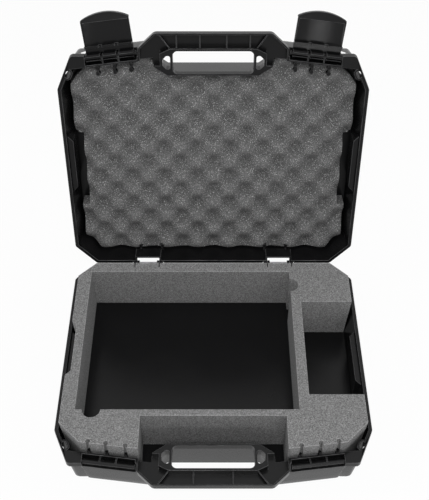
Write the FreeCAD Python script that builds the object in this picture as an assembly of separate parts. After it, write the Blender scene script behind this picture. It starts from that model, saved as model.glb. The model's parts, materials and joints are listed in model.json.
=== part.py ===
"""Console carrying case: two moulded shell halves with a carry handle, two latches and cut foam."""
import FreeCAD
import Part
import math
import os

Vector = FreeCAD.Vector

# Driving dimensions in millimetres. X runs across the case, Y from the handle to the hinges, Z up.
case_width = 432.0
case_depth = 352.0
handle_reach = 32.5
base_height = 60.0
lid_height = 52.0
wall = 2.6
floor_wall = 3.4
draft_angle = 7.0
bottom_round = 8.0
round_steps = 2
corner_round = 7.0
flange_height = 9.0
flange_overhang = 2.5
rim_gap = 0.3
overrun = 1.0
rear_corner_width = 31.5
rear_corner_depth = 33.0
front_corner_width = 22.0
front_corner_depth = 49.5
open_angle = 101.0

# Carry handle, moulded half on each shell
handle_half_front = 79.5
handle_half_root = 102.0
handle_root_reach = 11.0
handle_depth = 12.0
handle_round = 3.0
handle_taper = 0.6
handle_corner = 9.0
slot_half = 55.0
slot_front_reach = 7.0
slot_length = 33.0
slot_round = 7.0
slot_frame = 3.5
ear_inner = 58.5
ear_outer = 69.0
ear_length = 19.0
ear_round = 3.0
bay_half = 79.0
bay_slope_width = 17.0
bay_slope_depth = 12.0
handle_rib = 1.8
rib_drop = 3.0
base_rib_places = (26.0,)
lid_rib_places = (18.0, 49.5)

# Latch recesses at the front
recess_inner = 103.5
recess_outer = 174.5
recess_slant = 7.2
recess_back = 14.2
base_recess_height = 13.0
lid_recess_height = 17.5
panel_reach = 13.0
panel_inner = 80.0
bar_radius = 3.0
bar_reach = 8.3
bar_drop = 4.5
divider = 2.0
divider_place = 11.0
gusset = 2.2
gusset_bead = 2.8
bead_sides = 8
base_gusset_places = (116.0, 142.0, 166.0)
lid_gusset_places = (114.0, 137.0, 161.0)
base_gusset_reach = 6.0
lid_gusset_reach = 14.0
base_gusset_drop = 3.0
lid_gusset_drop = 24.0

# Latches
latch_width = 66.0
latch_length = 46.0
lip_length = 11.0
lip_flare = 5.0
latch_wall = 3.0
latch_offset = 5.6
latch_dish = 3.0
latch_centre_half = 14.0
clip_gap = 0.25
clip_wall = 2.4
clip_mouth = 4.6
hook_gap = 0.5
hook_height = 3.0
hook_overlap = 1.0
latch_open_angle = 98.0

# Padlock eyes at the front corners
eye_width = 6.0
eye_length = 11.0
eye_wall = 3.0

# Finger recesses in the side walls
grip_front = -30.0
grip_length = 88.0
grip_depth = 8.0
grip_height = 30.0

# Hinges
hinge_inner = 86.0
hinge_outer = 120.5
ear_thick = 3.5
knuckle_thick = 6.0
knuckle_radius = 4.5
pin_radius = 2.0
pin_gap = 0.15
side_gap = 0.3
hinge_pocket_depth = 10.0
hinge_pocket_height = 18.0
heel_length = 9.0
heel_gap = 0.2

# Foam
foam_gap = 0.6
foam_notch_gap = 2.0
foam_top_gap = 3.0
foam_rise = 20.0
foam_rear_gap = 17.0
foam_front_corner = 30.0
foam_rear_corner = 26.0
seat_gap = 0.3
console_left = -187.8
console_width = 305.0
console_front = -89.5
console_depth = 246.5
finger_radius = 12.5
finger_front_place = -166.0
finger_side_place = 131.0
controller_left = 132.0
controller_front = -65.5
controller_depth = 163.5
accessory_half = 99.0
accessory_wall = 10.0
rear_slit_width = 1.6
rear_slit_length = 8.0
lid_foam_rear_gap = 12.4
lid_foam_valley = 12.0
lid_foam_peak = 26.0
crate_pitch = 49.0
crate_steps = 4

# Recessed panel on the outside of the lid
top_panel_inset = 34.0
top_panel_depth = 1.4

# Places that follow from the driving dimensions
half_width = case_width / 2
rear_y = (case_depth + handle_reach) / 2
front_y = rear_y - case_depth
handle_front_y = front_y - handle_reach
slant = math.radians(recess_slant)
draft = math.tan(math.radians(draft_angle))
recess_mid = (recess_inner + recess_outer) / 2
recess_mid_y = front_y + recess_back - (recess_outer - recess_mid) * math.tan(slant)
bar_centre = Vector(recess_mid + bar_reach * math.sin(slant), recess_mid_y - bar_reach * math.cos(slant), 0)
bar_spacing = 2 * bar_drop + rim_gap
slot_front_y = front_y - slot_front_reach
slot_rear_y = slot_front_y + slot_length
axis_z = base_height + rim_gap / 2
base_gussets = [(place, base_gusset_reach) for place in base_gusset_places]
lid_gussets = [(place, lid_gusset_reach) for place in lid_gusset_places]
sides = (1, -1)


def offset_outline(points, distance):
    """Move every edge of a counter-clockwise outline outwards by a distance."""
    moved = []
    for index, point in enumerate(points):
        before = Vector(*point, 0) - Vector(*points[index - 1], 0)
        after = Vector(*points[(index + 1) % len(points)], 0) - Vector(*point, 0)
        normals = [Vector(edge.y, -edge.x, 0).normalize() for edge in (before, after)]
        shift = (normals[0] + normals[1]) * (distance / (1 + normals[0].dot(normals[1])))
        moved.append((point[0] + shift.x, point[1] + shift.y))
    return moved


def mirrored(right_half):
    """Close an outline from its right half, listed from the front to the rear."""
    return right_half + [(-x, y) for x, y in reversed(right_half) if abs(x) > 1e-9]


def outline_wire(points, z, radius=0.0):
    """Make a closed wire at a height, with every corner rounded to a radius."""
    corners = [Vector(x, y, z) for x, y in points]
    if radius <= 0:
        return Part.makePolygon(corners + corners[:1])
    ends = []
    arcs = []
    for index, corner in enumerate(corners):
        to_before = (corners[index - 1] - corner).normalize()
        to_after = (corners[(index + 1) % len(corners)] - corner).normalize()
        half = to_before.getAngle(to_after) / 2
        start = corner + to_before * (radius / math.tan(half))
        end = corner + to_after * (radius / math.tan(half))
        bisector = (to_before + to_after).normalize()
        middle = corner + bisector * (radius / math.sin(half) - radius)
        ends.append((start, end))
        arcs.append(Part.Arc(start, middle, end).toShape())
    edges = []
    for index, arc in enumerate(arcs):
        following = ends[(index + 1) % len(ends)]
        edges += [arc, Part.makeLine(ends[index][1], following[0])]
    return Part.Wire(edges)


def prism(points, low, high, radius=0.0):
    """Extrude an outline between two heights."""
    face = Part.Face(outline_wire(points, low, radius))
    return face.extrude(Vector(0, 0, high - low))


def loft(sections, radius):
    """Join outlines at heights by ruled faces into one solid."""
    wires = [outline_wire(points, z, radius) for z, points in sections]
    return Part.makeLoft(wires, True, True)


def box(x_range, y_range, z_range):
    """Make a box from three pairs of limits, in any order."""
    low = Vector(min(x_range), min(y_range), min(z_range))
    high = Vector(max(x_range), max(y_range), max(z_range))
    size = high - low
    return Part.makeBox(size.x, size.y, size.z, low)


def flip(shape, axis):
    """Mirror a shape through the origin along an axis."""
    return shape.mirror(Vector(0, 0, 0), axis)


def pair(shape):
    """Give a shape and its twin on the other side of the case."""
    return [shape, flip(shape, Vector(1, 0, 0))]


def rod(radius, start, end):
    """Make a cylinder between two points."""
    along = end - start
    return Part.makeCylinder(radius, along.Length, start, along)


def strip(start, end, thickness, low, high):
    """Make an upright strip between two plan points."""
    along = Vector(end[0] - start[0], end[1] - start[1], 0)
    across = Vector(-along.y, along.x, 0).normalize() * (thickness / 2)
    corners = [Vector(*start, 0) + across, Vector(*start, 0) - across]
    corners += [Vector(*end, 0) - across, Vector(*end, 0) + across]
    return prism([(corner.x, corner.y) for corner in corners], low, high)


def rim_outline():
    """Outer edge of the rim flange, an octagon with long front corners."""
    return mirrored([
        (half_width - front_corner_width, front_y),
        (half_width, front_y + front_corner_depth),
        (half_width, rear_y - rear_corner_depth),
        (half_width - rear_corner_width, rear_y)])


def recess_wall_y(x, inward=0.0):
    """Place of the slanted recess wall at a distance from the middle of the case."""
    return recess_mid_y + (abs(x) - recess_mid) * math.tan(slant) + inward / math.cos(slant)


def cavity_outline():
    """Inner edge of the tray at the rim, with a front that follows the recess walls."""
    inset = offset_outline(rim_outline(), -flange_overhang - wall)
    front, side = Vector(*inset[0], 0), Vector(*inset[1], 0)
    slope = math.tan(slant)
    start_y = recess_wall_y(0, wall)
    run = (side.y - front.y) / (side.x - front.x)
    corner_x = (start_y - front.y + run * front.x) / (run - slope)
    corner_y = start_y + slope * corner_x
    return mirrored([(0, start_y), (corner_x, corner_y)] + inset[1:4])


def bay_outline():
    """Plan of the hand bay behind the handle, which runs out past the front."""
    clear_y = handle_front_y - handle_reach
    return mirrored([
        (bay_half, clear_y),
        (bay_half, slot_rear_y - bay_slope_depth),
        (bay_half - bay_slope_width, slot_rear_y)])


def bumper_outline():
    """Plan of the right front panel below its latch recess, run back into the body."""
    reach = panel_reach / math.cos(slant)
    outer_x = recess_outer + wall
    inside_y = front_y + case_depth / 4
    return [
        (panel_inner, recess_wall_y(panel_inner) - reach),
        (outer_x, recess_wall_y(outer_x) - reach),
        (outer_x, inside_y),
        (panel_inner, inside_y)]


def handle_outline():
    """Plan of the handle with its slanted roots."""
    return mirrored([
        (handle_half_front, handle_front_y),
        (handle_half_root, front_y - handle_root_reach),
        (handle_half_root, slot_rear_y)])


def frame_outline():
    """Plan of the frame around the finger slot and its end openings."""
    reach = ear_outer + slot_frame
    middle_y = (slot_front_y + slot_rear_y) / 2
    low_y = middle_y - ear_length / 2 - slot_frame
    high_y = middle_y + ear_length / 2 + slot_frame
    return mirrored([
        (slot_half + slot_frame, slot_front_y - slot_frame),
        (reach, low_y),
        (reach, high_y),
        (slot_half + slot_frame, slot_rear_y + slot_frame)])


def rounded_sections(points, top, bottom):
    """Outlines of a drafted solid from the top down to a rounded bottom edge."""
    sections = [(top, offset_outline(points, draft * top))]
    for step in range(round_steps + 1):
        angle = math.radians(90 * step / round_steps)
        inset = draft * (bottom + bottom_round) - bottom_round * (1 - math.cos(angle))
        sections.append((bottom + bottom_round * (1 - math.sin(angle)), offset_outline(points, inset)))
    return sections


def eye_prism(grow, low, high):
    """Upright oval at the right padlock eye, grown on every side by an amount."""
    edge_run = Vector(front_corner_width, front_corner_depth, 0).normalize()
    inward = Vector(-edge_run.y, edge_run.x, 0)
    centre = Vector(half_width - front_corner_width / 2, front_y + front_corner_depth / 2, 0)
    centre += inward * (eye_width / 2 + eye_wall)
    half = edge_run * ((eye_length - eye_width) / 2)
    radius = eye_width / 2 + grow
    across = inward * radius
    first, last = centre - half, centre + half
    edges = [
        Part.makeLine(first - across, last - across),
        Part.Arc(last - across, last + edge_run * radius, last + across).toShape(),
        Part.makeLine(last + across, first + across),
        Part.Arc(first + across, first - edge_run * radius, first - across).toShape()]
    face = Part.Face(Part.Wire(edges))
    face.translate(Vector(0, 0, low))
    return face.extrude(Vector(0, 0, high - low))


def ear_opening(low, high):
    """Small opening between the right end of the finger slot and the frame."""
    middle_y = (slot_front_y + slot_rear_y) / 2
    slope = (ear_outer - ear_inner) / 2
    points = [
        (ear_inner, middle_y - ear_length / 2),
        (ear_outer - slope, middle_y - ear_length / 2),
        (ear_outer, middle_y - ear_length / 2 + slope),
        (ear_outer, middle_y + ear_length / 2 - slope),
        (ear_outer - slope, middle_y + ear_length / 2),
        (ear_inner, middle_y + ear_length / 2)]
    return prism(points, low, high, ear_round)


def slot_opening(low, high):
    """Finger slot of the handle."""
    points = mirrored([(slot_half, slot_front_y), (slot_half, slot_rear_y)])
    return prism(points, low, high, slot_round)


def grip_prism(grow, low, high):
    """Finger recess in the right side wall between two heights, grown by an amount."""
    inside_x = half_width - flange_overhang - grip_depth - grow
    slope = grip_depth
    points = [
        (inside_x, grip_front + slope - grow),
        (half_width + overrun, grip_front - slope - grow),
        (half_width + overrun, grip_front + grip_length + slope + grow),
        (inside_x, grip_front + grip_length - slope + grow)]
    return prism(points, low, high)


def grip_block(grow):
    """Finger recess under the rim flange, grown by a wall."""
    top = -flange_height
    return grip_prism(grow, top - grip_height - grow, top + grow)


def gusset_prism(x, reach, grow, low, high):
    """Keyhole-shaped rib behind the recess wall at a place, grown on every side."""
    start_y = recess_wall_y(x, wall / 2)
    end_y = recess_wall_y(x, wall + reach)
    rib = strip((x, start_y), (x, end_y), gusset + 2 * grow, low, high)
    radius = gusset_bead + grow
    turns = [2 * math.pi * (side + 0.5) / bead_sides for side in range(bead_sides)]
    corners = [(x + radius * math.cos(turn), end_y + radius * math.sin(turn)) for turn in turns]
    return rib.fuse(prism(corners, low, high))


def bay_sections(bottom, grow):
    """Outlines of the hand bay, which widens downwards with the draft."""
    return [(z, offset_outline(bay_outline(), grow - draft * z)) for z in (overrun, bottom - overrun)]


def bumper_core(bottom, recess_height):
    """Hollow in the right front panel, open at its underside."""
    ledge = -recess_height - wall
    outer_x = half_width - front_corner_width - flange_overhang - wall
    inner_x = panel_inner + wall
    reach = (panel_reach - wall) / math.cos(slant)
    cheek_x = recess_outer + wall
    top = [
        (inner_x, recess_wall_y(inner_x) - reach),
        (cheek_x - wall, recess_wall_y(cheek_x) - reach),
        (outer_x - wall, front_y + flange_overhang + wall),
        (outer_x - wall, recess_wall_y(outer_x - wall)),
        (inner_x, recess_wall_y(inner_x))]
    run = -draft * (bottom - overrun)
    low = [(x, y + run) for x, y in top]
    return loft([(ledge, top), (bottom - overrun, low)], 0)


def tray_outside(bottom):
    """Outside of one shell half: drafted body, front panels, rim flange and handle."""
    body = loft(rounded_sections(offset_outline(rim_outline(), -flange_overhang), 0, bottom), corner_round)
    bumper = loft(rounded_sections(bumper_outline(), overrun - handle_depth, bottom), 0)
    body = body.fuse(pair(bumper))
    body = body.cut(loft(bay_sections(bottom, 0), 0))
    flange = prism(rim_outline(), -flange_height, 0, corner_round)
    slopes = [(0, 0), (handle_round - handle_depth, -handle_taper), (-handle_depth, -handle_round)]
    handle = loft([(z, offset_outline(handle_outline(), grow)) for z, grow in slopes], handle_corner)
    return body.fuse([flange, handle])


def tray_inside(bottom, rib_places, gussets, gusset_drop):
    """Hollow of one shell half, less the walls, bosses and ribs that stand in it."""
    floor = bottom + floor_wall
    sections = [(overrun, cavity_outline()), (0.0, cavity_outline())]
    sections.append((floor, offset_outline(cavity_outline(), draft * floor)))
    hollow = loft(sections, 0)
    hollow = hollow.cut(loft(bay_sections(bottom, wall), 0))
    pocket_floor = wall - handle_depth
    pocket = prism(offset_outline(handle_outline(), -wall), pocket_floor, overrun)
    keep_x = bay_half + wall
    behind = box((-keep_x, keep_x), (slot_rear_y - bay_slope_depth, rear_y), (pocket_floor, overrun))
    pocket = pocket.cut([behind, prism(frame_outline(), pocket_floor, overrun)])
    hollow = hollow.fuse(pocket)
    rib_top = -rib_drop
    front_y_in = handle_front_y + wall / 2
    frame_y = slot_front_y - slot_frame / 2
    solids = []
    for place in rib_places:
        rib = strip((place, front_y_in), (place, frame_y), handle_rib, pocket_floor, rib_top)
        solids += pair(rib)
    brace_x = handle_half_front - 2 * wall
    brace_start = (slot_half + slot_frame, frame_y)
    brace = strip(brace_start, (brace_x, front_y_in), handle_rib, pocket_floor, rib_top)
    solids += pair(brace)
    solids += pair(eye_prism(eye_wall, floor, overrun))
    solids += pair(grip_block(wall))
    for place, reach in gussets:
        solids += pair(gusset_prism(place, reach, 0, floor, -gusset_drop))
    return hollow.cut(solids)


def latch_recess(recess_height):
    """Notch in the rim for the right latch."""
    points = [
        (recess_inner, handle_front_y),
        (recess_outer, handle_front_y),
        (recess_outer, recess_wall_y(recess_outer)),
        (recess_inner, recess_wall_y(recess_inner))]
    return prism(points, -recess_height, overrun)


def latch_bar(recess_height):
    """Bar of the right latch recess with the two thin walls that carry it."""
    along = Vector(math.cos(slant), math.sin(slant), 0)
    outward = Vector(math.sin(slant), -math.cos(slant), 0)
    half = (recess_outer - recess_inner) / 2 / math.cos(slant) + divider / 2
    centre = bar_centre + Vector(0, 0, -bar_drop)
    bar = rod(bar_radius, centre - along * half, centre + along * half)
    walls = []
    for side in sides:
        middle = bar_centre + along * (side * divider_place)
        back = middle - outward * (bar_reach + wall / 2)
        web_low = -recess_height - wall / 2
        web = strip((back.x, back.y), (middle.x, middle.y), divider, web_low, bar_radius - bar_drop)
        walls.append(web)
    return bar.fuse(walls)


def tray(height, recess_height, rib_places, gussets, gusset_drop):
    """One shell half with its rim at height zero and its floor below."""
    bottom = -height
    shell = tray_outside(bottom)
    shell = shell.cut(tray_inside(bottom, rib_places, gussets, gusset_drop))
    cuts = [slot_opening(bottom, overrun)]
    for part in (ear_opening(bottom, overrun), eye_prism(0, bottom, overrun), grip_block(0)):
        cuts += pair(part)
    cuts += pair(latch_recess(recess_height)) + pair(bumper_core(bottom, recess_height))
    return shell.cut(cuts).fuse(pair(latch_bar(recess_height)))


def barrel(start_x, thickness, radius):
    """Round hinge knuckle on the hinge axis, on the right side of the case."""
    return rod(radius, Vector(start_x, rear_y, axis_z), Vector(start_x + thickness, rear_y, axis_z))


def hinge_ear(start_x):
    """Knuckle of the base, carried by a foot on the rim flange."""
    reach = knuckle_radius
    profile = [
        Vector(start_x, rear_y - reach, axis_z),
        Vector(start_x, rear_y + reach, axis_z),
        Vector(start_x, rear_y + reach, axis_z - reach / 2),
        Vector(start_x, rear_y, base_height - flange_height),
        Vector(start_x, rear_y - reach, base_height - flange_height)]
    foot = Part.Face(Part.makePolygon(profile + profile[:1])).extrude(Vector(ear_thick, 0, 0))
    return barrel(start_x, ear_thick, knuckle_radius).fuse(foot)


def lid_knuckle(start_x):
    """Knuckle of the closed lid with the heel that stops it when it is open."""
    turn = math.radians(open_angle - 90)
    reach = knuckle_radius
    tip_y = heel_length * math.cos(turn)
    profile = [
        (-reach, 0),
        (0, heel_gap),
        (tip_y, heel_gap + heel_length * math.sin(turn)),
        (tip_y, reach),
        (0, flange_height),
        (-reach, flange_height)]
    corners = [Vector(start_x, rear_y + y, axis_z + z) for y, z in profile]
    foot = Part.Face(Part.makePolygon(corners + corners[:1])).extrude(Vector(knuckle_thick, 0, 0))
    return barrel(start_x, knuckle_thick, knuckle_radius).fuse(foot)


def knuckle_starts():
    """Inner ends of the two lid knuckles of the right hinge."""
    return (hinge_inner - side_gap - knuckle_thick, hinge_outer + side_gap)


def pin_hole():
    """Hole of the right hinge pin through all its knuckles."""
    start, end = knuckle_starts()
    length = end + knuckle_thick - start + 2 * overrun
    return barrel(start - overrun, length, pin_radius + pin_gap)


def base_shell():
    """Lower shell with the hinge ears."""
    shell = tray(base_height, base_recess_height, base_rib_places, base_gussets, base_gusset_drop)
    shell.translate(Vector(0, 0, base_height))
    clear = []
    for start in knuckle_starts():
        clear += pair(barrel(start - side_gap / 2, knuckle_thick + side_gap, knuckle_radius + 2 * side_gap))
    shell = shell.cut(clear)
    ears = []
    for start in (hinge_inner, hinge_outer - ear_thick):
        ears += pair(hinge_ear(start))
    return shell.fuse(ears).cut(pair(pin_hole())).removeSplitter()


def to_closed_lid(shape):
    """Turn a tray with its rim at height zero over onto the base."""
    turned = flip(shape, Vector(0, 0, 1))
    turned.translate(Vector(0, 0, base_height + rim_gap))
    return turned


def open_lid(shape):
    """Swing a shape with the lid from closed to open."""
    shape.rotate(Vector(0, rear_y, axis_z), Vector(1, 0, 0), -open_angle)
    return shape


def hinge_pocket(grow):
    """Pocket in the rear wall of the closed lid at the right hinge, grown by a wall."""
    start, end = knuckle_starts()
    low = base_height + rim_gap
    return box(
        (start + knuckle_thick - grow, end + grow),
        (rear_y - hinge_pocket_depth - grow, rear_y + grow),
        (low, low + hinge_pocket_height + grow))


def lid_closed():
    """Upper shell as it lies when closed."""
    shell = tray(lid_height, lid_recess_height, lid_rib_places, lid_gussets, lid_gusset_drop)
    shell = to_closed_lid(shell)
    low = base_height + rim_gap
    keep = prism(offset_outline(rim_outline(), -flange_overhang - wall / 2), low, low + lid_height)
    shell = shell.fuse([block.common(keep) for block in pair(hinge_pocket(wall))])
    knuckles = []
    for start in knuckle_starts():
        knuckles += pair(lid_knuckle(start))
    shell = shell.fuse(knuckles).cut(pair(hinge_pocket(0)) + pair(pin_hole()))
    top = low + lid_height
    run = draft * lid_height
    panel = offset_outline(rim_outline(), -top_panel_inset - run)
    sunk = prism(panel, top - top_panel_depth, top + overrun, corner_round)
    return shell.cut(sunk).removeSplitter()


def hinge_pin():
    """Steel pin of the right hinge."""
    start, end = knuckle_starts()
    return barrel(start, end + knuckle_thick - start, pin_radius)


def latch_closed():
    """Right latch on its lid bar, closed and square to the case, with the bar along X."""
    half = latch_width / 2
    inner = -latch_offset
    outer = inner - latch_wall - latch_dish
    tip = -latch_length - lip_length
    top = bar_radius + clip_gap
    profile = [
        Vector(-half, inner, top),
        Vector(-half, outer, top),
        Vector(-half, outer, -latch_length),
        Vector(-half, outer - lip_flare, tip),
        Vector(-half, inner - lip_flare, tip),
        Vector(-half, inner, -latch_length)]
    plate = Part.Face(Part.makePolygon(profile + profile[:1])).extrude(Vector(latch_width, 0, 0))
    dish = [
        (-latch_centre_half, inner - latch_dish),
        (latch_centre_half, inner - latch_dish),
        (half - latch_wall, inner),
        (latch_wall - half, inner)]
    chamfer = [(latch_centre_half, outer), (half + overrun, outer + latch_dish), (half + overrun, outer)]
    low = -latch_length
    cuts = [prism(list(reversed(dish)), low, -bar_spacing - bar_radius - hook_gap - hook_height)]
    cuts += pair(prism(chamfer, tip - overrun, top + overrun))
    sagitta = lip_length - latch_wall
    arc_radius = (half ** 2 + sagitta ** 2) / (2 * sagitta)
    arc_z = tip + arc_radius
    round_end = rod(arc_radius, Vector(0, -latch_length, arc_z), Vector(0, latch_length, arc_z))
    plate = plate.cut(cuts).common(round_end)
    ring_radius = bar_radius + clip_gap + clip_wall
    ring = rod(ring_radius, Vector(-half, 0, 0), Vector(half, 0, 0))
    web = box((-half, half), (outer + latch_dish, 0), (-ring_radius / 2, top))
    ridge_top = -bar_spacing - bar_radius - hook_gap
    ridge = box((-half, half), (inner - latch_dish, hook_overlap), (ridge_top - hook_height, ridge_top))
    latch = plate.fuse([ring, web, ridge])
    bore = rod(bar_radius + clip_gap, Vector(-latch_width, 0, 0), Vector(latch_width, 0, 0))
    mouth = box((-latch_width, latch_width), (0, ring_radius + overrun), (-clip_mouth / 2, clip_mouth / 2))
    far = ring_radius + overrun
    slots = []
    for side in sides:
        across = (side * divider_place - divider, side * divider_place + divider)
        slots.append(box(across, (outer - overrun, far), (-ring_radius, far)))
        slots.append(box(across, (inner, far), (ridge_top - hook_height - overrun, far)))
    return latch.cut([bore, mouth] + slots).removeSplitter()


def latch_at_rest():
    """Right latch flipped open on the open lid."""
    latch = latch_closed()
    latch.rotate(Vector(0, 0, 0), Vector(1, 0, 0), -latch_open_angle)
    latch.rotate(Vector(0, 0, 0), Vector(0, 0, 1), recess_slant)
    latch.translate(bar_centre + Vector(0, 0, base_height + rim_gap + bar_drop))
    return latch


def foam_outline(gap, rear_gap):
    """Plan of a foam piece at a gap from the rim of the tray, with cut corners."""
    side_x = half_width - flange_overhang - wall - gap
    rear = rear_y - rear_gap
    corner_x = side_x - foam_front_corner
    corner_y = recess_wall_y(corner_x, wall + gap)
    return mirrored([
        (0, recess_wall_y(0, wall + gap)),
        (corner_x, corner_y),
        (side_x, corner_y + foam_front_corner),
        (side_x, rear - foam_rear_corner),
        (side_x - foam_rear_corner, rear)])


def foam_notches(gussets, low, high):
    """Cuts in a foam piece around what stands in the tray."""
    cuts = pair(eye_prism(eye_wall + foam_notch_gap, low, high))
    cuts += pair(grip_prism(wall + foam_notch_gap, low, high))
    for place, reach in gussets:
        cuts += pair(gusset_prism(place, reach, foam_gap, low, high))
    return cuts


def base_foam():
    """Foam block of the base with its cut-outs."""
    low = floor_wall + seat_gap
    high = base_height + foam_rise
    low_gap = draft * (base_height - low) + foam_gap
    levels = ((low, low_gap), (high, foam_top_gap))
    foam = loft([(z, foam_outline(gap, foam_rear_gap)) for z, gap in levels], 0)
    deep = (low - overrun, high + overrun)
    console_right = console_left + console_width
    console_rear = console_front + console_depth
    cuts = [
        box((console_left, console_right), (console_front, console_rear), deep),
        box((controller_left, case_width), (controller_front, controller_front + controller_depth), deep),
        box((-accessory_half, accessory_half), (handle_front_y, console_front - accessory_wall), deep)]
    for x, y in ((finger_front_place, console_front), (console_right, finger_side_place)):
        cuts.append(Part.makeCylinder(finger_radius, deep[1] - deep[0], Vector(x, y, deep[0])))
    slit_rear = rear_y - foam_rear_gap
    start, end = knuckle_starts()
    for place in (start + knuckle_thick - wall / 2, end + wall / 2):
        slit_start = (place, slit_rear - rear_slit_length)
        slit = strip(slit_start, (place, slit_rear + overrun), rear_slit_width, *deep)
        cuts += pair(slit)
    return foam.cut(cuts + foam_notches(base_gussets, *deep)).removeSplitter()


def crate_block(floor):
    """Foam slab with an egg-crate face of alternating peaks and valleys, built of flat facets."""
    step = crate_pitch / crate_steps
    columns = math.ceil(half_width / step)
    rows = math.ceil(rear_y / step)
    wave = 2 * math.pi / crate_pitch
    middle = (lid_foam_peak + lid_foam_valley) / 2
    swing = (lid_foam_peak - lid_foam_valley) / 2

    def point(column, row):
        x = column * step
        y = row * step
        return Vector(x, y, floor + middle + swing * math.cos(wave * x) * math.cos(wave * y))

    def facet(*corners):
        return Part.Face(Part.makePolygon(list(corners) + [corners[0]]))

    def side(top):
        foot = [Vector(corner.x, corner.y, floor) for corner in (top[-1], top[0])]
        return facet(*top, *foot)

    faces = []
    for column in range(-columns, columns):
        for row in range(-rows, rows):
            corners = [point(column + right, row + up) for right, up in ((0, 0), (1, 0), (1, 1), (0, 1))]
            turn = (column + row) % 2
            corners = corners[turn:] + corners[:turn]
            faces += [facet(*corners[:3]), facet(corners[2], corners[3], corners[0])]
    for row in (-rows, rows):
        faces.append(side([point(column, row) for column in range(-columns, columns + 1)]))
    for column in (-columns, columns):
        faces.append(side([point(column, row) for row in range(-rows, rows + 1)]))
    far_x, far_y = columns * step, rows * step
    faces.append(facet(*[Vector(x, y, floor) for x, y in mirrored([(far_x, -far_y), (far_x, far_y)])]))
    shell = Part.makeShell(faces)
    shell.sewShape()
    return Part.makeSolid(shell)


def lid_foam_closed():
    """Egg-crate foam of the closed lid."""
    floor = floor_wall + seat_gap - lid_height
    gap = draft * (lid_height - floor_wall) + foam_gap
    high = floor + lid_foam_peak + overrun
    cut_out = prism(foam_outline(gap, lid_foam_rear_gap), floor, high)
    cut_out = cut_out.cut(loft(bay_sections(-lid_height, wall + foam_gap), 0))
    cut_out = cut_out.cut(foam_notches(lid_gussets, floor - overrun, high + overrun))
    return to_closed_lid(crate_block(floor).common(cut_out))


def parts():
    """All pieces at rest, by node name."""
    return {
        "base_shell": base_shell(),
        "lid_shell": open_lid(lid_closed()),
        "base_foam": base_foam(),
        "lid_foam": open_lid(lid_foam_closed()),
        "right_latch": open_lid(latch_at_rest()),
        "left_latch": open_lid(flip(latch_at_rest(), Vector(1, 0, 0))),
        "right_hinge_pin": hinge_pin(),
        "left_hinge_pin": flip(hinge_pin(), Vector(1, 0, 0)),
    }


os.makedirs("parts", exist_ok=True)
for node, shape in parts().items():
    shape.exportStep(os.path.join("parts", node + ".step"))
    print(node, shape.ShapeType, len(shape.Solids), shape.isValid(), round(shape.Volume / 1000, 1), "cm3")
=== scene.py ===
"""Console carrying case: moulded shells, latches, hinge pins, cut foam and a white studio."""
import json
import math

import bpy
from mathutils import Matrix, Vector
from mathutils.bvhtree import BVHTree


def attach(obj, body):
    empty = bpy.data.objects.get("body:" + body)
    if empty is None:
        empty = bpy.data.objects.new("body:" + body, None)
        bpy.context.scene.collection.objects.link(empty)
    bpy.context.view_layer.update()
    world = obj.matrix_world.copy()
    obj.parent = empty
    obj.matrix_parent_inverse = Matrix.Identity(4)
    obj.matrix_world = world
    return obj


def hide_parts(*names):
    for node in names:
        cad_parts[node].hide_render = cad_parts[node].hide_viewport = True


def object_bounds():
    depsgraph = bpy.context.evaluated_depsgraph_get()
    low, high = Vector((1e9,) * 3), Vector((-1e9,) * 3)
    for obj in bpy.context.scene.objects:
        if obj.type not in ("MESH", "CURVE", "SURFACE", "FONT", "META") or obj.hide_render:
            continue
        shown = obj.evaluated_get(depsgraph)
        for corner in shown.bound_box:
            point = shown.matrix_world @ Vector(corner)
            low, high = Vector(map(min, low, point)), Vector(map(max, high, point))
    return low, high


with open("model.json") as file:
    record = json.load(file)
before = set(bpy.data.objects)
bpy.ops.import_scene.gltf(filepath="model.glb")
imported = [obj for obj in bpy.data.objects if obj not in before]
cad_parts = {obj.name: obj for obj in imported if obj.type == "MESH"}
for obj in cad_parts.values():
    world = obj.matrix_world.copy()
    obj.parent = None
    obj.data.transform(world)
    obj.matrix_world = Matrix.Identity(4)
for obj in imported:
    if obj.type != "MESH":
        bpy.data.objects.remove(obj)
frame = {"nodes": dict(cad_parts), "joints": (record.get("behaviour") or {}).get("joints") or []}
nodes = frame["nodes"]
joints = {joint["name"]: joint for joint in frame["joints"]}
cad_low, cad_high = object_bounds()

bl_info = {
    "name": "Console Carrying Case",
    "version": (1, 0, 0),
    "blender": (4, 5, 0),
    "location": "View3D > Sidebar > Case",
    "description": "Builds the looks of a hinged console case with cut foam",
    "category": "Add Mesh",
}

# Edges that turn by more than the first angle are rounded.
# Edges that turn by less than the other two are shaded smooth, the last on the egg-crate foam.
ROUNDED_TURN = math.radians(32)
SMOOTH_TURN = math.radians(40)
CRATE_SMOOTH_TURN = math.radians(50)

# Faces across a rounded edge.
ROUND_STEPS = 2

# Vertices nearer than this are one, in metres.
MERGE_GAP = 1e-6

# Least upward part of the normal of a level face, and how near to the top it counts as top, in metres.
LEVEL_FACING = 0.99
LEVEL_GAP = 1e-5

# Shares of the width that each step of a soft edge goes inward and upward.
SOFT_STEPS = ((0.1, 0.5), (0.3, 0.35), (0.6, 0.15))

# Place across, root and free end along the depth of each rib, with the lid closed, in metres.
RIB_PLACES = {
    "inner_hinge": (0.082, 0.1867, 0.1762),
    "outer_hinge": (0.116, 0.1867, 0.1762),
    "inner_latch": (0.114, -0.1364, -0.1279),
    "middle_latch": (0.137, -0.1335, -0.1250),
    "outer_latch": (0.161, -0.1305, -0.1220)}
BEAD_SIDES = 20

# Grain of the foams: how far it varies, how bright its cell walls are, how much painted shade darkens the
# hollows.
BASE_GRAIN = {"contrast": 0.45, "sparkle": 0.25, "painted_shade_share": 0.0}
LID_GRAIN = {"contrast": 0.5, "sparkle": 0.65, "painted_shade_share": 0.3}
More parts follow.
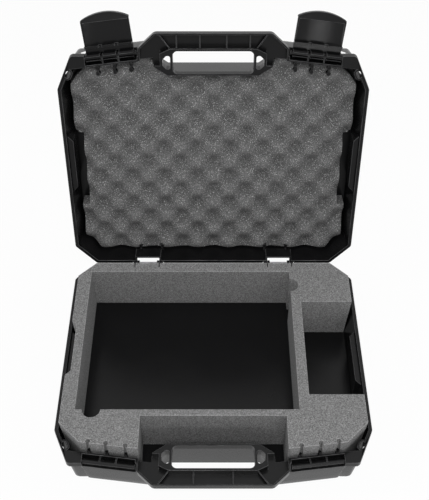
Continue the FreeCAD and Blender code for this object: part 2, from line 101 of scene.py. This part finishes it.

# Colour that the bright cell walls add to a foam, and that its rounded edges get as a painted highlight.
FLECK_AND_HIGHLIGHT_COLOUR = (0.6, 0.6, 0.6, 1)

# Upward parts of the normals between which a face of the lid foam belongs to the egg-crate side.
CRATE_FACING = (-0.999, -0.2)

# Cuts in each edge of that side, and the share of a valley's thickness from which a point is on it.
CRATE_CUTS = 3
CRATE_START = 0.9

# Painted shade of the egg-crate face: brightness at half height, and how much it gains up to a peak.
CREST_MIDDLE = 0.6
CREST_GAIN = 0.9

# The trim of a side of the lid foam is spread over this many times its width.
TRIM_SPREAD = 8

# Floor of the studio: side, depth under the case, colour, and how white it is for the camera.
FLOOR_SIZE = 12
FLOOR_DROP = 0.0002
FLOOR_COLOUR = (0.85, 0.85, 0.85, 1)
FLOOR_WHITE = 0.95

# Name, place, size and share of the key power of each lamp, and the point that all look at.
LAMPS = (
    ("overhead_light", (0.0, -1.0, 1.7), 0.5, 1.0),
    ("left_light", (-1.6, 0.1, 0.9), 0.4, 0.35),
    ("right_light", (1.6, 0.1, 0.9), 0.4, 0.35),
    ("front_light", (0.46, -1.7, 0.55), 0.3, 0.15))
LAMP_AIM = Vector((0, 0.05, 0.15))

# Sensor of the camera in millimetres, and its shift sideways.
SENSOR_WIDTH = 36
CAMERA_SHIFT = 0.0024


class ShellSettings(bpy.types.PropertyGroup):
    """Finish of the moulded plastic pieces."""

    edge_round: bpy.props.FloatProperty(
        name="Edge Round", description="Width of the rounding on moulded edges",
        default=0.0005, min=0.0, unit="LENGTH")
    hinge_room: bpy.props.FloatProperty(
        name="Hinge Room",
        description="Distance from the hinge within which edges of the base stay sharp",
        default=0.010, min=0.0, unit="LENGTH")
    pin_round: bpy.props.FloatProperty(
        name="Pin Round", description="Width of the rounding on the ends of the hinge pins",
        default=0.00025, min=0.0, unit="LENGTH")
    base_sheen: bpy.props.FloatProperty(
        name="Base Sheen", description="Strength of the reflections of the base",
        default=0.25, min=0.0, max=1.0, subtype="FACTOR")
    lid_sheen: bpy.props.FloatProperty(
        name="Lid Sheen", description="Strength of the reflections of the lid and its latches",
        default=0.16, min=0.0, max=1.0, subtype="FACTOR")
    shell_gloss: bpy.props.FloatProperty(
        name="Shell Gloss", description="Smoothness of the two shells",
        default=0.76, min=0.0, max=1.0, subtype="FACTOR")
    latch_gloss: bpy.props.FloatProperty(
        name="Latch Gloss", description="Smoothness of the flip latches",
        default=0.78, min=0.0, max=1.0, subtype="FACTOR")
    shell_colour: bpy.props.FloatVectorProperty(
        name="Shell Colour", description="Colour of the two shells",
        default=(0.006, 0.006, 0.0063), size=3, subtype="COLOR")
    latch_colour: bpy.props.FloatVectorProperty(
        name="Latch Colour", description="Colour of the flip latches",
        default=(0.005, 0.005, 0.0053), size=3, subtype="COLOR")
    # Painted highlight on the rounded edges of the plastic, in patches.
    edge_highlight_colour: bpy.props.FloatVectorProperty(
        name="Edge Colour", description="Colour of the rubbed edges of the plastic",
        default=(0.09, 0.09, 0.092), size=3, subtype="COLOR")
    pin_colour: bpy.props.FloatVectorProperty(
        name="Pin Colour", description="Colour of the hinge pins",
        default=(0.35, 0.35, 0.36), size=3, subtype="COLOR")


class FoamSettings(bpy.types.PropertyGroup):
    """Shape and finish of the two foam pieces."""

    edge_round: bpy.props.FloatProperty(
        name="Cut Edge", description="Rounding of the cut edges of the base foam",
        default=0.0008, min=0.0, unit="LENGTH")
    base_colour: bpy.props.FloatVectorProperty(
        name="Base Foam Colour", description="Colour of the cut block",
        default=(0.205, 0.205, 0.205), size=3, subtype="COLOR")
    lid_colour: bpy.props.FloatVectorProperty(
        name="Lid Foam Colour", description="Colour of the egg-crate sheet",
        default=(0.118, 0.118, 0.118), size=3, subtype="COLOR")
    pore: bpy.props.FloatProperty(
        name="Pore", description="Size of the grain of the open cells",
        default=0.0015, min=0.0002, unit="LENGTH")
    grip_cut: bpy.props.FloatProperty(
        name="Grip Cut", description="Depth of the cuts in the lid foam beside the finger recesses",
        default=0.0125, min=0.0, unit="LENGTH")
    side_trim: bpy.props.FloatProperty(
        name="Side Trim", description="How much narrower the lid foam is cut on each side",
        default=0.0028, min=0.0, unit="LENGTH")
    grip_cut_front: bpy.props.FloatProperty(
        name="Grip Cut Front", description="Front end of those cuts",
        default=-0.024, unit="LENGTH")
    grip_cut_rear: bpy.props.FloatProperty(
        name="Grip Cut Rear", description="Rear end of those cuts",
        default=0.095, unit="LENGTH")
    crate_pitch: bpy.props.FloatProperty(
        name="Crate Pitch", description="Distance between like peaks of the egg-crate face",
        default=0.049, min=0.01, unit="LENGTH")
    crate_peak: bpy.props.FloatProperty(
        name="Crate Peak", description="Thickness of the lid foam at a peak",
        default=0.026, min=0.0, unit="LENGTH")
    crate_valley: bpy.props.FloatProperty(
        name="Crate Valley", description="Thickness of the lid foam in a valley",
        default=0.012, min=0.0, unit="LENGTH")


class RibSettings(bpy.types.PropertyGroup):
    """Ribs inside the lid, sized with the lid closed."""

    rib_width: bpy.props.FloatProperty(
        name="Rib Width", description="Thickness of a rib",
        default=0.0022, min=0.0005, unit="LENGTH")
    rib_bead: bpy.props.FloatProperty(
        name="Rib Bead", description="Radius of the bead at the end of a rib",
        default=0.0028, min=0.0005, unit="LENGTH")
    rib_round: bpy.props.FloatProperty(
        name="Rib Round", description="Width of the rounding on the edges of a rib",
        default=0.00044, min=0.0, unit="LENGTH")
    rib_gap: bpy.props.FloatProperty(
        name="Rib Gap", description="Room that the lid foam leaves around a rib",
        default=0.0008, min=0.0, unit="LENGTH")
    rib_low: bpy.props.FloatProperty(
        name="Rib Low", description="Height of the free end of a rib",
        default=0.0845, unit="LENGTH")
    rib_high: bpy.props.FloatProperty(
        name="Rib High", description="Height of the end of a rib at the floor of the lid",
        default=0.1043, unit="LENGTH")


class StudioSettings(bpy.types.PropertyGroup):
    """Camera and light."""

    pitch: bpy.props.FloatProperty(
        name="Camera Pitch", description="How far the camera looks down",
        default=math.radians(47.69), subtype="ANGLE")
    camera_place: bpy.props.FloatVectorProperty(
        name="Camera Place", description="Where the camera stands",
        default=(0.0, -0.7248, 1.0986), size=3, subtype="XYZ", unit="LENGTH")
    lens: bpy.props.FloatProperty(
        name="Lens", description="Focal length for a long side of 36 mm",
        default=62.68, min=1.0, unit="CAMERA")
    key_power: bpy.props.FloatProperty(
        name="Key Power", description="Power of the overhead light",
        default=16.0, min=0.0, unit="POWER")
    sky: bpy.props.FloatProperty(
        name="Sky", description="Strength of the light from all round",
        default=0.4, min=0.0)


class Shade:
    """A shader socket that takes part in Python expressions."""

    def __init__(self, tree, socket):
        self.tree = tree
        self.socket = socket

    def node(self, kind, settings, inputs, output=0):
        """Add a node with its settings first, then the values or links of its sockets."""
        made = self.tree.nodes.new(kind)
        for name, value in settings.items():
            setattr(made, name, value)
        for name, value in inputs.items():
            if isinstance(value, Shade):
                self.tree.links.new(value.socket, made.inputs[name])
            else:
                made.inputs[name].default_value = value
        return Shade(self.tree, made.outputs[output])

    def math(self, operation, first, second):
        """Work out one step of arithmetic."""
        return self.node("ShaderNodeMath", {"operation": operation}, {0: first, 1: second})

    def __add__(self, other):
        return self.math("ADD", self, other)

    __radd__ = __add__

    def __sub__(self, other):
        return self.math("SUBTRACT", self, other)

    def __rsub__(self, other):
        return self.math("SUBTRACT", other, self)

    def __mul__(self, other):
        return self.math("MULTIPLY", self, other)

    __rmul__ = __mul__

    def attribute(self, name):
        """A value that the mesh holds for each point or face."""
        return self.node("ShaderNodeAttribute", {"attribute_name": name}, {}, output="Fac")

    def noise(self, size, detail):
        """Noise with features of a size in metres over this coordinate."""
        return self.node("ShaderNodeTexNoise", {}, {"Vector": self, "Scale": 1 / size, "Detail": detail})

    def between(self, low, high):
        """Stretch this value so that low becomes 0 and high becomes 1, with nothing outside."""
        return self.node(
            "ShaderNodeMapRange", {"clamp": True},
            {"Value": self, "From Min": low, "From Max": high})

    def tint(self, first, second):
        """Mix two colours by this value."""
        return self.node(
            "ShaderNodeMix", {"data_type": "RGBA"},
            {"Factor": self, 6: (*first, 1), 7: (*second, 1)}, output=2)

    def bump(self, height, strength):
        """Bend the normal by this value as a relief of a height in metres."""
        return self.node(
            "ShaderNodeBump", {},
            {"Height": self, "Distance": height, "Strength": strength})


def start_finish(name):
    """Make a material and give it with its principled shader and its object coordinate."""
    material = bpy.data.materials.new(name)
    material.use_nodes = True
    tree = material.node_tree
    shader = tree.nodes["Principled BSDF"]
    coordinate = tree.nodes.new("ShaderNodeTexCoord")
    return material, shader, Shade(tree, coordinate.outputs["Object"])


def feed(shader, socket, value):
    """Link a worked-out value to a socket of a shader."""
    value.tree.links.new(value.socket, shader.inputs[socket])


def scaled(colour, factor):
    """A colour made lighter or darker."""
    return tuple(channel * factor for channel in colour)


def moulded_plastic(name, colour, painted_highlight_colour, gloss, sheen):
    """Black plastic with a fine moulded grain, faintly uneven gloss and a painted highlight, in patches,
    on its rounded edges.
    """
    material, shader, place = start_finish(name)
    # The rounded edges are painted paler in patches, as a painted highlight where they catch the light,
    # and are made a little glossier.
    patches = place.noise(size=0.02, detail=3.0).between(low=0.2, high=0.55)
    painted_highlight = place.attribute("rounds") * patches
    feed(shader, "Base Color", painted_highlight.tint(colour, painted_highlight_colour))
    shader.inputs["Specular IOR Level"].default_value = sheen
    handled = place.noise(size=0.06, detail=4.0)
    grain = place.noise(size=0.0009, detail=2.0)
    feed(shader, "Roughness", 1 - gloss + 0.16 * (handled - 0.5) - 0.08 * painted_highlight)
    feed(shader, "Normal", grain.bump(height=0.00012, strength=0.35))
    return material


def cut_foam(name, colour, pore, contrast, sparkle, painted_shade_share):
    """Open-cell foam with a grain of pores, bright cell walls, hollows painted darker as painted shade,
    and a painted highlight on rounded edges.
    """
    material, shader, place = start_finish(name)
    cells = place.noise(size=pore, detail=3.0)
    grain = cells.between(low=0.34, high=0.66)
    # Painted shade: the hollows of the egg crate are painted darker and its peaks lighter.
    painted_shade = place.attribute("painted_shade")
    shade = (grain * (1 - painted_shade_share) + painted_shade * painted_shade_share).tint(
        scaled(colour, 1 - contrast), scaled(colour, 1 + contrast))
    walls = place.noise(size=pore * 0.8, detail=0.0).between(low=0.62, high=0.78)
    # The rounded top edges get a painted highlight of that colour on top of the bright cell walls.
    flecks_and_highlight = walls * sparkle + 0.12 * place.attribute("rounds")
    lit = flecks_and_highlight.node(
        "ShaderNodeMix", {"data_type": "RGBA", "blend_type": "ADD"},
        {"Factor": flecks_and_highlight, 6: shade, 7: FLECK_AND_HIGHLIGHT_COLOUR}, output=2)
    feed(shader, "Base Color", lit)
    feed(shader, "Roughness", 0.86 + 0.1 * place.noise(size=0.05, detail=2.0))
    shader.inputs["Specular IOR Level"].default_value = 0.15
    feed(shader, "Normal", (cells + flecks_and_highlight).bump(height=0.0008, strength=0.6))
    return material


def drawn_steel(name, colour):
    """Steel wire with marks of drawing along its length."""
    material, shader, place = start_finish(name)
    shader.inputs["Base Color"].default_value = (*colour, 1)
    shader.inputs["Metallic"].default_value = 1.0
    along = place.node("ShaderNodeMapping", {}, {"Vector": place, "Scale": (0.05, 1, 1)})
    feed(shader, "Roughness", 0.3 + 0.2 * along.noise(size=0.0006, detail=2.0))
    return material


def seen_directly(tree):
    """One for rays from the camera, also by way of gloss or glass."""
    path = tree.nodes.new("ShaderNodeLightPath")
    camera, gloss, glass = (
        Shade(tree, path.outputs[name])
        for name in ("Is Camera Ray", "Is Glossy Ray", "Is Transmission Ray"))
    return camera.math("MAXIMUM", camera, gloss.math("MAXIMUM", gloss, glass))


def white_floor():
    """Pale floor that looks white and keeps a light shadow."""
    material = bpy.data.materials.new("white_floor")
    material.use_nodes = True
    tree = material.node_tree
    shader = tree.nodes["Principled BSDF"]
    shader.inputs["Base Color"].default_value = FLOOR_COLOUR
    shader.inputs["Roughness"].default_value = 0.9
    glow = tree.nodes.new("ShaderNodeEmission")
    share = seen_directly(tree) * FLOOR_WHITE
    mixed = share.node(
        "ShaderNodeMixShader", {},
        {"Fac": share, 1: Shade(tree, shader.outputs[0]), 2: Shade(tree, glow.outputs[0])})
    tree.links.new(mixed.socket, tree.nodes["Material Output"].inputs["Surface"])
    return material


def light_world(strength):
    """White surroundings with an even light."""
    world = bpy.data.worlds.new("white_studio")
    bpy.context.scene.world = world
    world.use_nodes = True
    tree = world.node_tree
    background = tree.nodes["Background"]
    background.inputs["Color"].default_value = (1, 1, 1, 1)
    seen = seen_directly(tree)
    feed(background, "Strength", strength + seen * (1 - strength))


def only(obj):
    """Make one object the only selected and active one."""
    bpy.ops.object.select_all(action="DESELECT")
    obj.select_set(True)
    bpy.context.view_layer.objects.active = obj


def merged_copy(node, name):
    """Copy a solid of the frame as one closed mesh with plain normals."""
    piece = bpy.data.objects.new(name, nodes[node].data.copy())
    bpy.context.scene.collection.objects.link(piece)
    piece.data.materials.clear()
    only(piece)
    bpy.ops.mesh.customdata_custom_splitnormals_clear()
    bpy.ops.object.mode_set(mode="EDIT")
    bpy.ops.mesh.select_mode(type="FACE")
    bpy.ops.mesh.select_all(action="SELECT")
    bpy.ops.mesh.remove_doubles(threshold=MERGE_GAP)
    bpy.ops.mesh.select_all(action="DESELECT")
    bpy.ops.object.mode_set(mode="OBJECT")
    return piece


def smooth_rounds(piece):
    """Shade the rounds smoothly and leave the flat faces even."""
    bpy.ops.object.shade_smooth_by_angle(angle=SMOOTH_TURN)
    even = piece.modifiers.new("even_shading", "WEIGHTED_NORMAL")
    even.keep_sharp = True
    bpy.ops.object.modifier_apply(modifier=even.name)


def soften_top(piece, width):
    """Round the edges all round the top of a piece."""
    only(piece)
    top = max(vertex.co.z for vertex in piece.data.vertices)
    for polygon in piece.data.polygons:
        polygon.select = polygon.normal.z > LEVEL_FACING and top - polygon.center.z < LEVEL_GAP
    bpy.ops.object.mode_set(mode="EDIT")
    bpy.ops.transform.translate(value=(0, 0, -width))
    for inward, upward in SOFT_STEPS:
        bpy.ops.mesh.inset(thickness=inward * width, use_even_offset=True)
        bpy.ops.transform.translate(value=(0, 0, upward * width))
    bpy.ops.object.mode_set(mode="OBJECT")
    rounds = piece.data.attributes.new("rounds", "FLOAT", "FACE")
    for polygon in piece.data.polygons:
        in_round = top - width < polygon.center.z < top - LEVEL_GAP
        rounds.data[polygon.index].value = float(in_round)
    smooth_rounds(piece)


def stands_out(faces):
    """Whether an edge lies between two faces, is sharp and points outward."""
    if len(faces) != 2:
        return False
    first, second = faces
    outward = first.normal.dot(second.center - first.center) < 0
    return outward and first.normal.angle(second.normal, 0) > ROUNDED_TURN


def select_outer_edges(mesh, hinge_room):
    """Select the sharp edges that stand out, clear of the lid hinge."""
    hinge = Vector(joints["lid_hinge"]["pos_m"])
    in_room = [(vertex.co - hinge).yz.length < hinge_room for vertex in mesh.vertices]
    sides = {edge.key: [] for edge in mesh.edges}
    for polygon in mesh.polygons:
        for key in polygon.edge_keys:
            sides[key].append(polygon)
    for edge in mesh.edges:
        in_the_way = any(in_room[end] for end in edge.vertices)
        edge.select = stands_out(sides[edge.key]) and not in_the_way


def round_edges(piece, width, hinge_room=0):
    """Round the sharp outer edges of a piece, clear of the lid hinge, and mark them for the painted
    highlight of its finish.

    Where a round strays from the form that the piece had before, it is put back on it.
    """
    mesh = piece.data
    points = [vertex.co.copy() for vertex in mesh.vertices]
    before = BVHTree.FromPolygons(points, [polygon.vertices[:] for polygon in mesh.polygons])
    only(piece)
    bpy.ops.object.mode_set(mode="EDIT")
    bpy.ops.mesh.select_mode(type="EDGE")
    bpy.ops.mesh.select_all(action="DESELECT")
    bpy.ops.object.mode_set(mode="OBJECT")
    select_outer_edges(mesh, hinge_room)
    bpy.ops.object.mode_set(mode="EDIT")
    bpy.ops.mesh.bevel(offset=width, segments=ROUND_STEPS, affect="EDGES", clamp_overlap=False)
    bpy.ops.object.mode_set(mode="OBJECT")
    rounds = mesh.attributes.new("rounds", "FLOAT", "FACE")
    for polygon in mesh.polygons:
        rounds.data[polygon.index].value = float(polygon.select)
    for vertex in mesh.vertices:
        surface, outward, _, distance = before.find_nearest(vertex.co)
        if distance > width / 2 or (vertex.co - surface).dot(outward) > MERGE_GAP:
            vertex.co = surface
    smooth_rounds(piece)


def hand_over(piece, node, body, material):
    """Give a finished piece its material and its body, and hide the solid that it stands for."""
    piece.data.materials.append(material)
    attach(piece, body)
    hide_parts(node)


def lid_closing():
    """The turn that closes the lid."""
    hinge = joints["lid_hinge"]
    centre = Matrix.Translation(hinge["pos_m"])
    swing = Matrix.Rotation(math.radians(hinge["range_deg"][1]), 4, Vector(hinge["axis"]))
    return centre @ swing @ centre.inverted()


def combine(piece, other, operation):
    """Add another solid to a piece or take it away, and remove the other."""
    only(piece)
    change = piece.modifiers.new("change", "BOOLEAN")
    change.operation = operation
    change.object = other
    bpy.ops.object.modifier_apply(modifier=change.name)
    bpy.data.objects.remove(other)


def block(name, low, high):
    """A block between two corners."""
    centre = (Vector(low) + Vector(high)) / 2
    bpy.ops.object.select_all(action="DESELECT")
    bpy.ops.mesh.primitive_cube_add(size=1, location=centre, scale=Vector(high) - Vector(low))
    bpy.ops.object.transform_apply(location=True, rotation=False, scale=True)
    bpy.context.object.name = name
    return bpy.context.object


def lid_rib(name, turn, place, look, grow):
    """A rib of the closed lid with a bead at its free end, on one side, grown on every side."""
    across, root, end = place
    x = turn * across
    low, high = look.rib_low - grow, look.rib_high + grow
    half = look.rib_width / 2 + grow
    near, far = sorted((root, end))
    rib = block(name, (x - half, near, low), (x + half, far, high))
    bpy.ops.object.select_all(action="DESELECT")
    bpy.ops.mesh.primitive_cylinder_add(
        vertices=BEAD_SIDES, radius=look.rib_bead + grow, depth=high - low,
        location=(x, end, (high + low) / 2))
    bpy.ops.object.transform_apply(location=True, rotation=False, scale=False)
    combine(rib, bpy.context.object, "UNION")
    return rib


def cut_round_moulding(foam, look, ribs):
    """Cut the lid foam back from the finger recesses and the ribs of the closed lid."""
    points = [vertex.co.copy() for vertex in foam.data.vertices]
    widest = max(point.x for point in points)
    low = min(point.z for point in points) - look.pore
    high = max(point.z for point in points) + look.pore
    for turn in (-1, 1):
        near, far = sorted((turn * (widest - look.grip_cut), turn * 2 * widest))
        cut = block("grip_cut", (near, look.grip_cut_front, low), (far, look.grip_cut_rear, high))
        combine(foam, cut, "DIFFERENCE")
        for place in RIB_PLACES.values():
            combine(foam, lid_rib("rib_cut", turn, place, ribs, ribs.rib_gap), "DIFFERENCE")


def refine_crate(foam):
    """Give the egg-crate side of the closed lid's foam, which faces down, a finer mesh."""
    only(foam)
    for polygon in foam.data.polygons:
        polygon.select = CRATE_FACING[0] < polygon.normal.z < CRATE_FACING[1]
    bpy.ops.object.mode_set(mode="EDIT")
    bpy.ops.mesh.select_mode(type="FACE")
    bpy.ops.mesh.quads_convert_to_tris()
    bpy.ops.mesh.subdivide(number_cuts=CRATE_CUTS)
    bpy.ops.object.mode_set(mode="OBJECT")


def trim_sides(mesh, trim):
    """Squeeze the two sides of the lid foam in, most at their edges."""
    widest = max(vertex.co.x for vertex in mesh.vertices)
    for vertex in mesh.vertices:
        outward = abs(vertex.co.x) - widest + TRIM_SPREAD * trim
        if outward > 0:
            vertex.co.x -= math.copysign(outward / TRIM_SPREAD, vertex.co.x)


def mould_crate(mesh, look):
    """Set the egg-crate side of the closed lid's foam to its waves, and note how bright each point is
    painted, as painted shade.
    """
    back = max(vertex.co.z for vertex in mesh.vertices)
    middle = (look.crate_peak + look.crate_valley) / 2
    reach = (look.crate_peak - look.crate_valley) / 2
    wave = 2 * math.pi / look.crate_pitch
    painted_shade = mesh.attributes.new("painted_shade", "FLOAT", "POINT")
    for vertex in mesh.vertices:
        if back - vertex.co.z > look.crate_valley * CRATE_START:
            height = math.cos(wave * vertex.co.x) * math.cos(wave * vertex.co.y)
            vertex.co.z = back - middle - reach * height
            # This brightness is painted shade, darker in the valleys and lighter on the peaks.
            brightness = CREST_MIDDLE + CREST_GAIN * height
            painted_shade.data[vertex.index].value = min(1.0, max(0.0, brightness))


class CASE_OT_shells(bpy.types.Operator):
    """Finish the two moulded shells"""

    bl_idname = "case.shells"
    bl_label = "Moulded Shells"

    def execute(self, context):
        look = context.scene.case_shell
        halves = (("base", look.base_sheen, look.hinge_room), ("lid", look.lid_sheen, 0))
        for half, sheen, hinge_room in halves:
            plastic = moulded_plastic(
                half + "_shell_plastic", look.shell_colour, look.edge_highlight_colour,
                look.shell_gloss, sheen)
            piece = merged_copy(half + "_shell", half + "_moulding")
            round_edges(piece, look.edge_round, hinge_room)
            hand_over(piece, half + "_shell", half, plastic)
        return {"FINISHED"}


class CASE_OT_latches(bpy.types.Operator):
    """Finish the two flip latches"""

    bl_idname = "case.latches"
    bl_label = "Flip Latches"

    def execute(self, context):
        look = context.scene.case_shell
        plastic = moulded_plastic(
            "black_latch_plastic", look.latch_colour, look.edge_highlight_colour,
            look.latch_gloss, look.lid_sheen)
        for side in ("left", "right"):
            node = side + "_latch"
            piece = merged_copy(node, side + "_latch_lever")
            round_edges(piece, look.edge_round)
            hand_over(piece, node, node, plastic)
        return {"FINISHED"}


class CASE_OT_hinge_pins(bpy.types.Operator):
    """Finish the two hinge pins"""

    bl_idname = "case.hinge_pins"
    bl_label = "Hinge Pins"

    def execute(self, context):
        look = context.scene.case_shell
        steel = drawn_steel("drawn_pin_steel", look.pin_colour)
        for side in ("left", "right"):
            node = side + "_hinge_pin"
            piece = merged_copy(node, side + "_hinge_rod")
            round_edges(piece, look.pin_round)
            hand_over(piece, node, "base", steel)
        return {"FINISHED"}


class CASE_OT_lid_ribs(bpy.types.Operator):
    """Add the ribs that hold the lid foam beside the hinges and behind the latches"""

    bl_idname = "case.lid_ribs"
    bl_label = "Lid Ribs"

    def execute(self, context):
        look = context.scene.case_ribs
        for side, turn in (("left", -1), ("right", 1)):
            for kind, place in RIB_PLACES.items():
                rib = lid_rib(f"{side}_{kind}_rib", turn, place, look, 0)
                rib.data.transform(lid_closing().inverted())
                round_edges(rib, look.rib_round)
                rib.data.materials.append(bpy.data.materials["lid_shell_plastic"])
                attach(rib, "lid")
        return {"FINISHED"}


class CASE_OT_base_foam(bpy.types.Operator):
    """Cut the foam block of the base"""

    bl_idname = "case.base_foam"
    bl_label = "Base Foam"

    def execute(self, context):
        look = context.scene.case_foam
        foam = cut_foam("base_grey_foam", look.base_colour, look.pore, **BASE_GRAIN)
        piece = merged_copy("base_foam", "base_foam_block")
        soften_top(piece, look.edge_round)
        hand_over(piece, "base_foam", "base", foam)
        return {"FINISHED"}


class CASE_OT_lid_foam(bpy.types.Operator):
    """Mould the egg-crate foam of the lid"""

    bl_idname = "case.lid_foam"
    bl_label = "Lid Foam"

    def execute(self, context):
        look = context.scene.case_foam
        foam = cut_foam("lid_dark_foam", look.lid_colour, look.pore, **LID_GRAIN)
        piece = merged_copy("lid_foam", "lid_foam_sheet")
        closing = lid_closing()
        piece.data.transform(closing)
        cut_round_moulding(piece, look, context.scene.case_ribs)
        refine_crate(piece)
        trim_sides(piece.data, look.side_trim)
        mould_crate(piece.data, look)
        piece.data.transform(closing.inverted())
        bpy.ops.object.shade_smooth_by_angle(angle=CRATE_SMOOTH_TURN)
        hand_over(piece, "lid_foam", "lid", foam)
        return {"FINISHED"}


class CASE_OT_stage(bpy.types.Operator):
    """Set up the floor, the light and the camera"""

    bl_idname = "case.stage"
    bl_label = "White Studio"

    def execute(self, context):
        look = context.scene.case_studio
        bpy.ops.object.select_all(action="DESELECT")
        bpy.ops.mesh.primitive_plane_add(size=FLOOR_SIZE, location=(0, 0, cad_low.z - FLOOR_DROP))
        floor = context.object
        floor.name = "studio_floor"
        floor.data.materials.append(white_floor())
        light_world(look.sky)
        for name, place, size, share in LAMPS:
            bpy.ops.object.light_add(type="AREA", location=place)
            lamp = context.object
            lamp.name = name
            lamp.data.size = size
            lamp.data.energy = look.key_power * share
            aim = LAMP_AIM - Vector(place)
            lamp.rotation_euler = aim.to_track_quat("-Z", "Y").to_euler()
        bpy.ops.object.camera_add(
            location=look.camera_place, rotation=(math.pi / 2 - look.pitch, 0, 0))
        camera = context.object
        camera.name = "studio_camera"
        camera.data.sensor_width = SENSOR_WIDTH
        camera.data.lens = look.lens
        camera.data.shift_x = CAMERA_SHIFT
        context.scene.camera = camera
        context.scene.view_settings.view_transform = "Standard"
        return {"FINISHED"}


class VIEW3D_PT_case(bpy.types.Panel):
    """Lists the pieces of the case"""

    bl_label = "Console Case"
    bl_space_type = "VIEW_3D"
    bl_region_type = "UI"
    bl_category = "Case"

    def draw(self, context):
        for settings, operators in PANEL_ROWS:
            group = getattr(context.scene, settings)
            box = self.layout.box()
            for name in group.bl_rna.properties.keys():
                if name not in ("rna_type", "name"):
                    box.prop(group, name)
            for operator in operators:
                box.operator(operator.bl_idname)


PANEL_ROWS = (
    ("case_shell", (CASE_OT_shells, CASE_OT_latches, CASE_OT_hinge_pins)),
    ("case_ribs", (CASE_OT_lid_ribs,)),
    ("case_foam", (CASE_OT_base_foam, CASE_OT_lid_foam)),
    ("case_studio", (CASE_OT_stage,)),
)
SETTINGS = {
    "case_shell": ShellSettings, "case_ribs": RibSettings,
    "case_foam": FoamSettings, "case_studio": StudioSettings}
CLASSES = (
    *SETTINGS.values(), CASE_OT_shells, CASE_OT_latches, CASE_OT_hinge_pins,
    CASE_OT_lid_ribs, CASE_OT_base_foam, CASE_OT_lid_foam, CASE_OT_stage, VIEW3D_PT_case)


def register():
    """Add the classes and the settings of the scene."""
    for each in CLASSES:
        bpy.utils.register_class(each)
    for name, group in SETTINGS.items():
        setattr(bpy.types.Scene, name, bpy.props.PointerProperty(type=group))


def unregister():
    """Remove the settings of the scene and the classes."""
    for name in SETTINGS:
        delattr(bpy.types.Scene, name)
    for each in reversed(CLASSES):
        bpy.utils.unregister_class(each)


def main():
    """Register the classes and build every piece in order."""
    register()
    bpy.ops.case.shells()
    bpy.ops.case.latches()
    bpy.ops.case.hinge_pins()
    bpy.ops.case.lid_ribs()
    bpy.ops.case.base_foam()
    bpy.ops.case.lid_foam()
    bpy.ops.case.stage()


if __name__ == "__main__":
    main()
